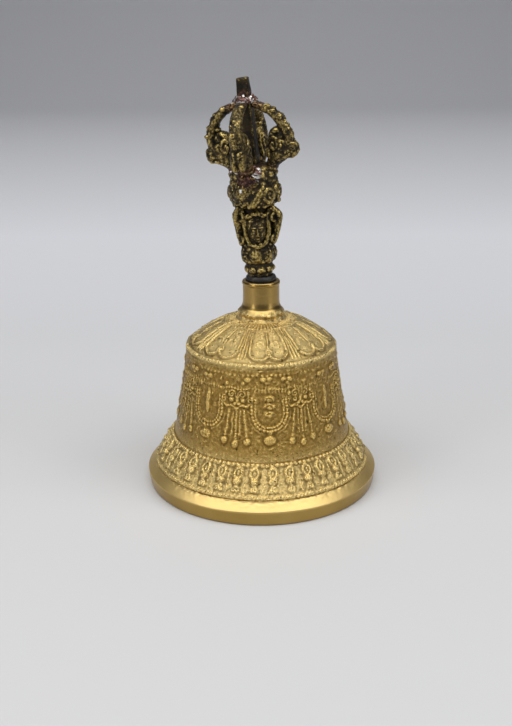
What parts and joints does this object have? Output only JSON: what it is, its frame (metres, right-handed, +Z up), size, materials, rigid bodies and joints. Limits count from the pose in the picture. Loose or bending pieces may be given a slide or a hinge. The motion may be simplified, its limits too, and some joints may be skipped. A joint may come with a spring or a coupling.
{
  "type": "ritual hand bell",
  "caption": "Brass hand bell with a flared rim, relief ornament, a bronze half-vajra handle, and a clapper that swings on a link inside.",
  "frame": {"origin": "centre of the bell's mouth, on the plane of the rim's lower face that the bell stands on", "axes": "+Z up along the bell's axis, -Y towards the front of the handle's face, +X to the right seen from the front; the handle leans a few degrees towards -X"},
  "size_m": [0.087, 0.087, 0.1481],
  "materials": {
    "bell_brass": "cast golden brass, satin, with a turned and polished rim",
    "handle_bronze": "dark aged bronze, rubbed bright on the high spots",
    "prong_bronze": "dark aged bronze with copper-red heat tint near the solder",
    "solder": "dull silver tin solder",
    "pitch": "black set pitch",
    "iron_wire": "dark forged iron wire with light rust",
    "bob_brass": "turned brass, dulled, bright on the striking belt"
  },
  "bodies": {
    "bell": {"bell_body": "bell_brass", "handle_stem": "handle_bronze", "centre_prong": "prong_bronze", "prong_front": "prong_bronze", "prong_back": "prong_bronze", "prong_left": "prong_bronze", "prong_right": "prong_bronze", "root_solder": "solder", "tip_solder": "solder", "pitch_bed": "pitch", "hanger_rod": "iron_wire", "hanger_washer": "iron_wire", "hanger_nut": "iron_wire"},
    "link": {"clapper_link": "iron_wire"},
    "clapper": {"clapper_rod": "iron_wire", "clapper_bob": "bob_brass"}
  },
  "joints": [
    {"name": "link_swing", "type": "hinge", "parent": "bell", "child": "link", "pos_m": [0, 0, 0.0475], "axis": [1, 0, 0], "range_deg": [-28, 28]},
    {"name": "clapper_swing", "type": "hinge", "parent": "link", "child": "clapper", "pos_m": [0, 0, 0.0395], "axis": [0, 1, 0], "range_deg": [-34, 34]}
  ]
}
